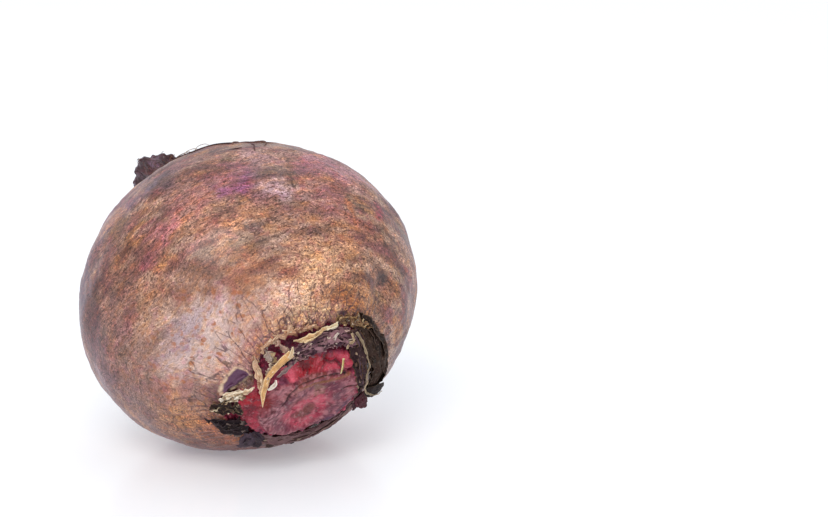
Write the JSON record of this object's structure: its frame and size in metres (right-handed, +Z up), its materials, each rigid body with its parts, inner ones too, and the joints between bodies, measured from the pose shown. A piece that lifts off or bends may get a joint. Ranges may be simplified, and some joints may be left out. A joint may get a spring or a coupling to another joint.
{
  "type": "beetroot",
  "caption": "Whole beetroot lying on its flank, a swollen round root with its leaves trimmed to a dried collar at the crown and a short dried tap root at the back.",
  "frame": {"origin": "middle of the small flat spot that the root rests on", "axes": "+Z up; -Y towards the viewer, where the crown points, dipping down and turned to +X; the tap root points back, up and to -X"},
  "size_m": [0.0845, 0.0831, 0.0784],
  "materials": {
    "rind": "satin, tan-brown dried rind over a mauve root, cut crown dull red",
    "dried_leaf_base": "matte, dark dried plant tissue",
    "papery_skin": "matte, tan papery skin"
  },
  "bodies": {
    "root": {"root": "rind", "leaf_base_collar": "dried_leaf_base", "papery_skin": "papery_skin"}
  },
  "joints": []
}
